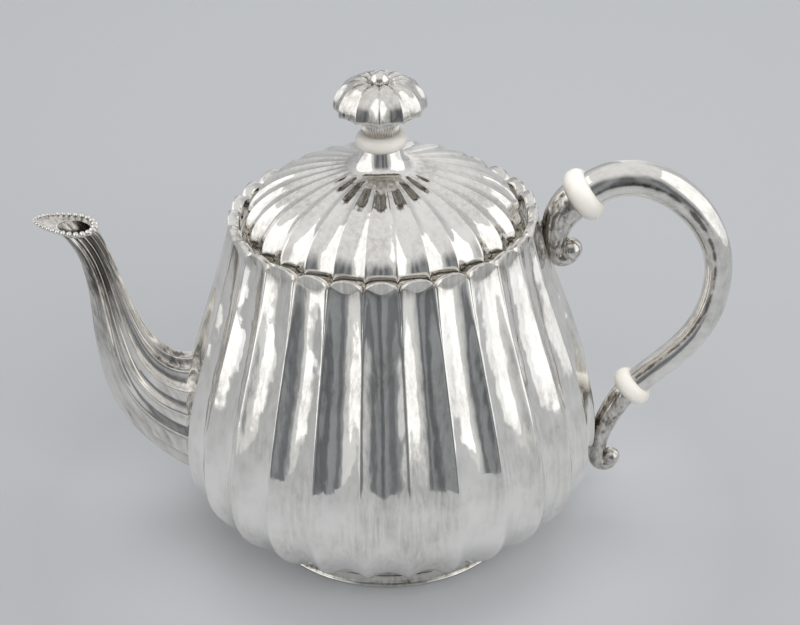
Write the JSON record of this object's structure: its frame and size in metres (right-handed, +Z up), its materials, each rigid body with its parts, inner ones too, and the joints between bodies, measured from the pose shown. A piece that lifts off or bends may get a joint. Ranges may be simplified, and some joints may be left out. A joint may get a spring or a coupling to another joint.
{
  "type": "teapot",
  "caption": "Fluted silver teapot with a domed lift-off lid, flower knob, curved spout with a beaded lip, and a hollow looped handle held between white insulating rings.",
  "frame": {"origin": "centre of the foot ring on the table", "axes": "+Z up, +X towards the handle, -X towards the spout, +Y to the left of the handle side seen from above"},
  "size_m": [0.2395, 0.1472, 0.1758],
  "materials": {
    "silver": "polished silver with fine wear",
    "bone": "polished warm white bone",
    "hardware": "turned"
  },
  "bodies": {
    "pot": {"body_shell": "silver", "base_plate": "silver", "foot_ring": "silver", "rim_collar": "silver", "spout_tube": "silver", "spout_lip": "silver", "spout_strainer": "silver", "upper_socket": "silver", "lower_socket": "silver", "upper_insulator": "bone", "lower_insulator": "bone", "handle_loop": "silver", "upper_pins": "silver", "lower_pins": "silver"},
    "lid": {"lid_dome": "silver", "lid_flange": "silver", "lid_neck": "silver", "knob_insulator": "bone", "knob_collar": "silver", "knob_flower": "silver", "knob_bead": "silver", "knob_bolt": "hardware", "knob_washer": "hardware", "knob_nut": "hardware"}
  },
  "joints": [
    {"name": "lid_lift", "type": "slide", "parent": "pot", "child": "lid", "axis": [0, 0, 1], "range_m": [0, 0.06]}
  ]
}
